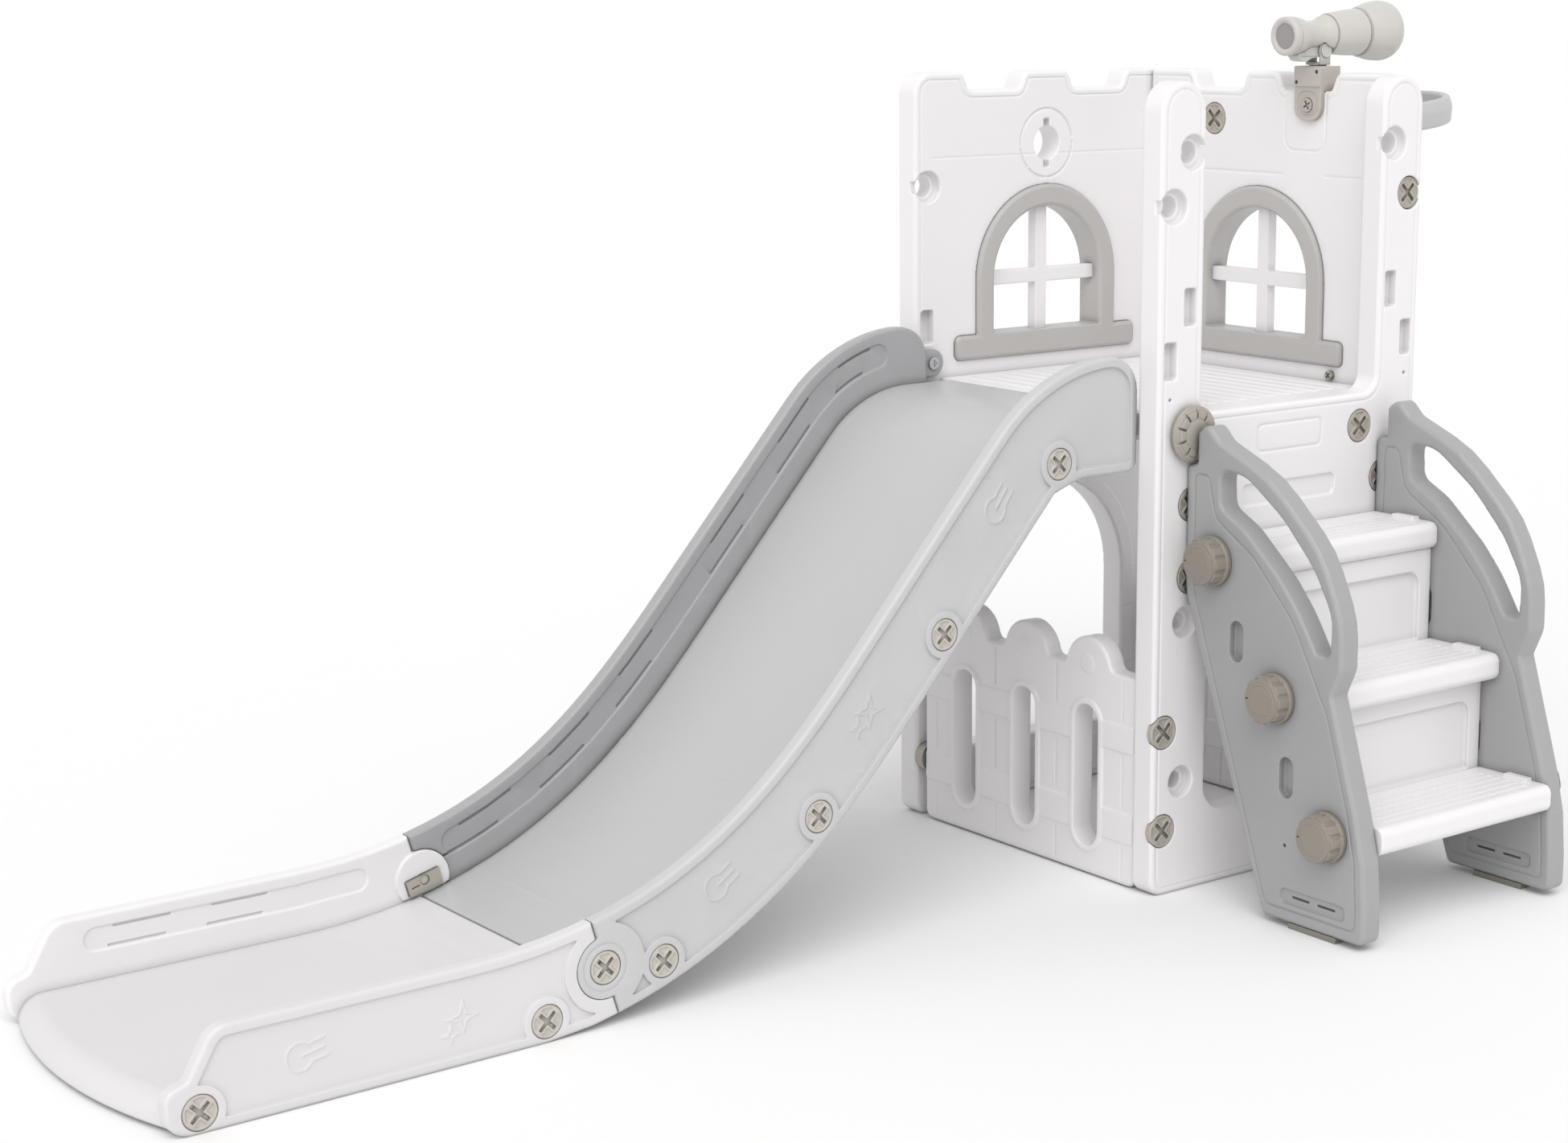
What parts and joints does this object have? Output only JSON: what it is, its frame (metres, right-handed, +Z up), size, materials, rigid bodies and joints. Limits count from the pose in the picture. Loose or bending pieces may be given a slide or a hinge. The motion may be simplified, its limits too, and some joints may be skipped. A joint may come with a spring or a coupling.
{
  "type": "toddler slide with play tower",
  "caption": "Toddler slide with castle play tower, three-step stairs with handles, telescope, picket fences and basketball hoop.",
  "frame": {"origin": "centre of the bounding box at floor level", "axes": "+X from the slide's foot towards the tower's rear wall, +Y from the stairs towards the window wall, +Z up"},
  "size_m": [2.1418, 0.899, 1.2018],
  "materials": {
    "white_plastic": "satin blow-moulded",
    "bed_grey": "satin",
    "rail_grey": "satin",
    "plate_grey": "satin",
    "trim_grey": "satin",
    "scope_grey": "smooth",
    "taupe_plastic": "satin",
    "dark_plastic": "satin",
    "foot_rubber": "matt",
    "lens": "polished",
    "steel": "zinc plated"
  },
  "bodies": {
    "tower": {"stair_wall": "white_plastic", "window_wall": "white_plastic", "telescope_wall": "white_plastic", "front_fence": "white_plastic", "rear_fence": "white_plastic", "platform_deck": "white_plastic", "far_window_frame": "trim_grey", "rear_window_frame": "trim_grey", "slide_upper_bed": "bed_grey", "slide_upper_rail_near": "rail_grey", "slide_upper_rail_far": "rail_grey", "slide_lower_bed": "white_plastic", "slide_lower_rail_near": "white_plastic", "slide_lower_rail_far": "white_plastic", "slide_upper_screws": "taupe_plastic", "slide_lower_screws": "taupe_plastic", "knuckle_screws": "taupe_plastic", "knuckle_nuts": "taupe_plastic", "tab_screws": "steel", "stair_plate_left": "plate_grey", "stair_plate_right": "plate_grey", "stair_tread_top": "white_plastic", "stair_tread_middle": "white_plastic", "stair_tread_bottom": "white_plastic", "stair_riser_top": "white_plastic", "stair_riser_middle": "white_plastic", "stair_bolts": "steel", "stair_feet": "foot_rubber", "stair_screws": "taupe_plastic", "dial_spindle": "dark_plastic", "post_screws": "taupe_plastic", "fence_collars": "taupe_plastic", "deck_bolts": "taupe_plastic", "telescope_bracket": "scope_grey", "bracket_screw": "scope_grey", "hoop_ring": "trim_grey", "hoop_bracket": "trim_grey", "hoop_screws": "steel"},
    "telescope_mount": {"swivel_fork": "scope_grey", "tilt_pin": "scope_grey"},
    "telescope": {"telescope_saddle": "scope_grey", "telescope_eye_tube": "scope_grey", "telescope_front_tube": "scope_grey", "telescope_bell": "scope_grey", "eyepiece_ring": "scope_grey", "eyepiece_lens": "lens", "front_lens": "lens"},
    "dial": {"dial": "taupe_plastic"},
    "stair_knob_left_top": {"stair_knob_left_top": "taupe_plastic"},
    "stair_knob_left_middle": {"stair_knob_left_middle": "taupe_plastic"},
    "stair_knob_left_bottom": {"stair_knob_left_bottom": "taupe_plastic"},
    "stair_knob_right_top": {"stair_knob_right_top": "taupe_plastic"},
    "stair_knob_right_middle": {"stair_knob_right_middle": "taupe_plastic"},
    "stair_knob_right_bottom": {"stair_knob_right_bottom": "taupe_plastic"}
  },
  "joints": [
    {"name": "telescope_pan", "type": "hinge", "parent": "tower", "child": "telescope_mount", "pos_m": [0.82903, 0.0725, 1.11], "axis": [0, 0, 1], "continuous": true},
    {"name": "telescope_tilt", "type": "hinge", "parent": "telescope_mount", "child": "telescope", "pos_m": [0.82903, 0.0725, 1.132], "axis": [0, -1, 0], "range_deg": [-4, 8]},
    {"name": "dial_turn", "type": "hinge", "parent": "tower", "child": "dial", "pos_m": [0.41503, -0.1095, 0.638], "axis": [0, -1, 0], "continuous": true},
    {"name": "knob_left_top_turn", "type": "hinge", "parent": "tower", "child": "stair_knob_left_top", "pos_m": [0.40973, -0.1625, 0.474], "axis": [-1, 0, 0], "continuous": true},
    {"name": "knob_left_middle_turn", "type": "hinge", "parent": "tower", "child": "stair_knob_left_middle", "pos_m": [0.40973, -0.2835, 0.309], "axis": [-1, 0, 0], "continuous": true},
    {"name": "knob_left_bottom_turn", "type": "hinge", "parent": "tower", "child": "stair_knob_left_bottom", "pos_m": [0.40973, -0.3825, 0.143], "axis": [-1, 0, 0], "continuous": true},
    {"name": "knob_right_top_turn", "type": "hinge", "parent": "tower", "child": "stair_knob_right_top", "pos_m": [0.81433, -0.1625, 0.474], "axis": [1, 0, 0], "continuous": true},
    {"name": "knob_right_middle_turn", "type": "hinge", "parent": "tower", "child": "stair_knob_right_middle", "pos_m": [0.81433, -0.2835, 0.309], "axis": [1, 0, 0], "continuous": true},
    {"name": "knob_right_bottom_turn", "type": "hinge", "parent": "tower", "child": "stair_knob_right_bottom", "pos_m": [0.81433, -0.3825, 0.143], "axis": [1, 0, 0], "continuous": true}
  ]
}
